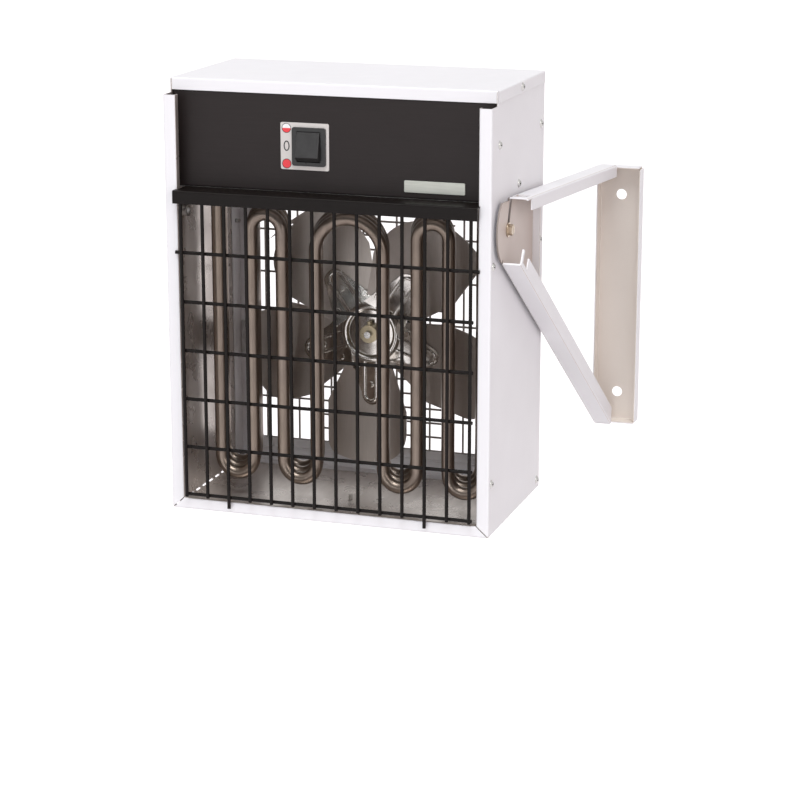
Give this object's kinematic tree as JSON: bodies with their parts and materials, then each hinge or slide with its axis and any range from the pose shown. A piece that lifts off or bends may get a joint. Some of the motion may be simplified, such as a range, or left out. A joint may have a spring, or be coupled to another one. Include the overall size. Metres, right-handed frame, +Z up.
{
  "type": "wall mounted fan heater",
  "caption": "Fan heater in a folded sheet casing with a wire grille, serpentine heating tubes, a fan and a rocker switch, tilting on a side bracket with a wall plate.",
  "frame": {"origin": "midway between the two wall holes, on the wall plane at the wall plate's back face", "axes": "+Y into the wall, +Z up, +X to the right of someone who faces the heater"},
  "size_m": [0.331, 0.3735, 0.3729],
  "materials": {
    "white_coat": "satin",
    "dark_panel": "satin",
    "label": "satin",
    "bare_plate": "brushed",
    "switch_black": "matte",
    "rocker_black": "satin",
    "zinc": "satin",
    "black_coat": "satin",
    "heater_tube": "satin",
    "brass_nut": "satin",
    "terminal_steel": "satin",
    "core_steel": "matte",
    "winding": "gloss",
    "screw_steel": "polished",
    "guard_wire": "satin",
    "ceramic_white": "matte",
    "gland_black": "matte",
    "washer_black": "matte",
    "pivot_brass": "polished",
    "shaft_steel": "polished",
    "spider_chrome": "polished",
    "blade_aluminium": "satin"
  },
  "bodies": {
    "wall_bracket": {"wall_plate": "white_coat", "support_arm": "white_coat"},
    "heater": {"casing": "white_coat", "top_lid": "white_coat", "control_fascia": "dark_panel", "switch_label": "label", "name_plate": "bare_plate", "switch_housing": "switch_black", "control_box_floor": "zinc", "grille_rail": "black_coat", "front_grille": "black_coat", "heating_element_front": "heater_tube", "heating_element_middle": "heater_tube", "heating_element_rear": "heater_tube", "element_nuts": "brass_nut", "element_terminals": "terminal_steel", "motor_stator": "core_steel", "motor_coil": "winding", "motor_bearing_front": "zinc", "motor_bearing_rear": "zinc", "motor_bracket": "zinc", "motor_screws": "screw_steel", "rear_panel": "white_coat", "rear_cover": "white_coat", "rear_guard": "guard_wire", "terminal_block": "ceramic_white", "limit_thermostat": "switch_black", "cable_gland": "gland_black", "side_screws": "screw_steel", "back_edge_screws": "screw_steel", "lid_screws": "screw_steel", "floor_screw": "screw_steel", "pivot_nuts": "zinc", "pivot_washer": "washer_black", "pivot_screw": "pivot_brass"},
    "fan_rotor": {"motor_shaft": "shaft_steel", "rotor_core": "core_steel", "fan_hub": "brass_nut", "fan_spider": "spider_chrome", "fan_blades": "blade_aluminium", "fan_rivets": "blade_aluminium"},
    "rocker": {"switch_rocker": "rocker_black"}
  },
  "joints": [
    {"name": "tilt", "type": "hinge", "parent": "wall_bracket", "child": "heater", "pos_m": [-0.0201, -0.3318, 0.1204], "axis": [1, 0, 0], "range_deg": [-10, 45]},
    {"name": "fan_turn", "type": "hinge", "parent": "heater", "child": "fan_rotor", "pos_m": [-0.1646, -0.2485, 0.00525], "axis": [0, 1, 0], "continuous": true},
    {"name": "switch_turn", "type": "hinge", "parent": "heater", "child": "rocker", "pos_m": [-0.1841, -0.3471, 0.183], "axis": [1, 0, 0], "range_deg": [0, 28]}
  ]
}
